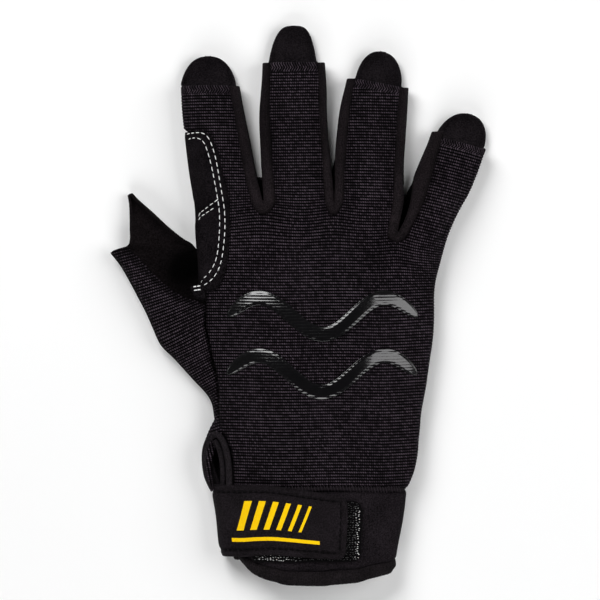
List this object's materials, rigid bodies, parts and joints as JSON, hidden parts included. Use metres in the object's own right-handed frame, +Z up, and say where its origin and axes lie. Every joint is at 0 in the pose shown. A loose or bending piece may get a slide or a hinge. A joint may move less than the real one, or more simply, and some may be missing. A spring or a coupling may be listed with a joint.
{
  "type": "climbing glove",
  "caption": "Right-hand climbing glove with half fingers, ribbed stretch back, suede palm with finger tongues, wrist slit, cuff and closing strap.",
  "frame": {"origin": "on the flat underside of the palm, under the middle of the hand", "axes": "+X to the little finger, +Y to the fingertips, +Z up through the back of the hand"},
  "size_m": [0.1533, 0.2299, 0.0249],
  "materials": {
    "ribbed_cloth": "matte ribbed knit",
    "suede": "matte nap",
    "smooth_cloth": "matte fine knit",
    "cuff_cloth": "matte padded knit",
    "binding": "matte woven tape",
    "hook_tape": "hooks with a dull shine",
    "strap_cloth": "matte fine weave",
    "raised_print": "glossy raised print"
  },
  "bodies": {
    "root": {"back_panel": "ribbed_cloth", "palm_panel": "suede", "fourchette_index_middle": "smooth_cloth", "fourchette_middle_ring": "smooth_cloth", "fourchette_ring_pinky": "smooth_cloth", "patch_upper": "suede", "patch_lower": "suede", "thumb_back": "ribbed_cloth", "thumb_front": "suede", "slit_roll_back": "binding", "slit_roll_inner": "binding", "slit_roll_palm": "binding", "cuff": "cuff_cloth", "cuff_binding": "binding", "hook_tape": "hook_tape", "strap": "strap_cloth", "print_wave_upper": "raised_print", "print_wave_lower": "raised_print"}
  },
  "joints": []
}
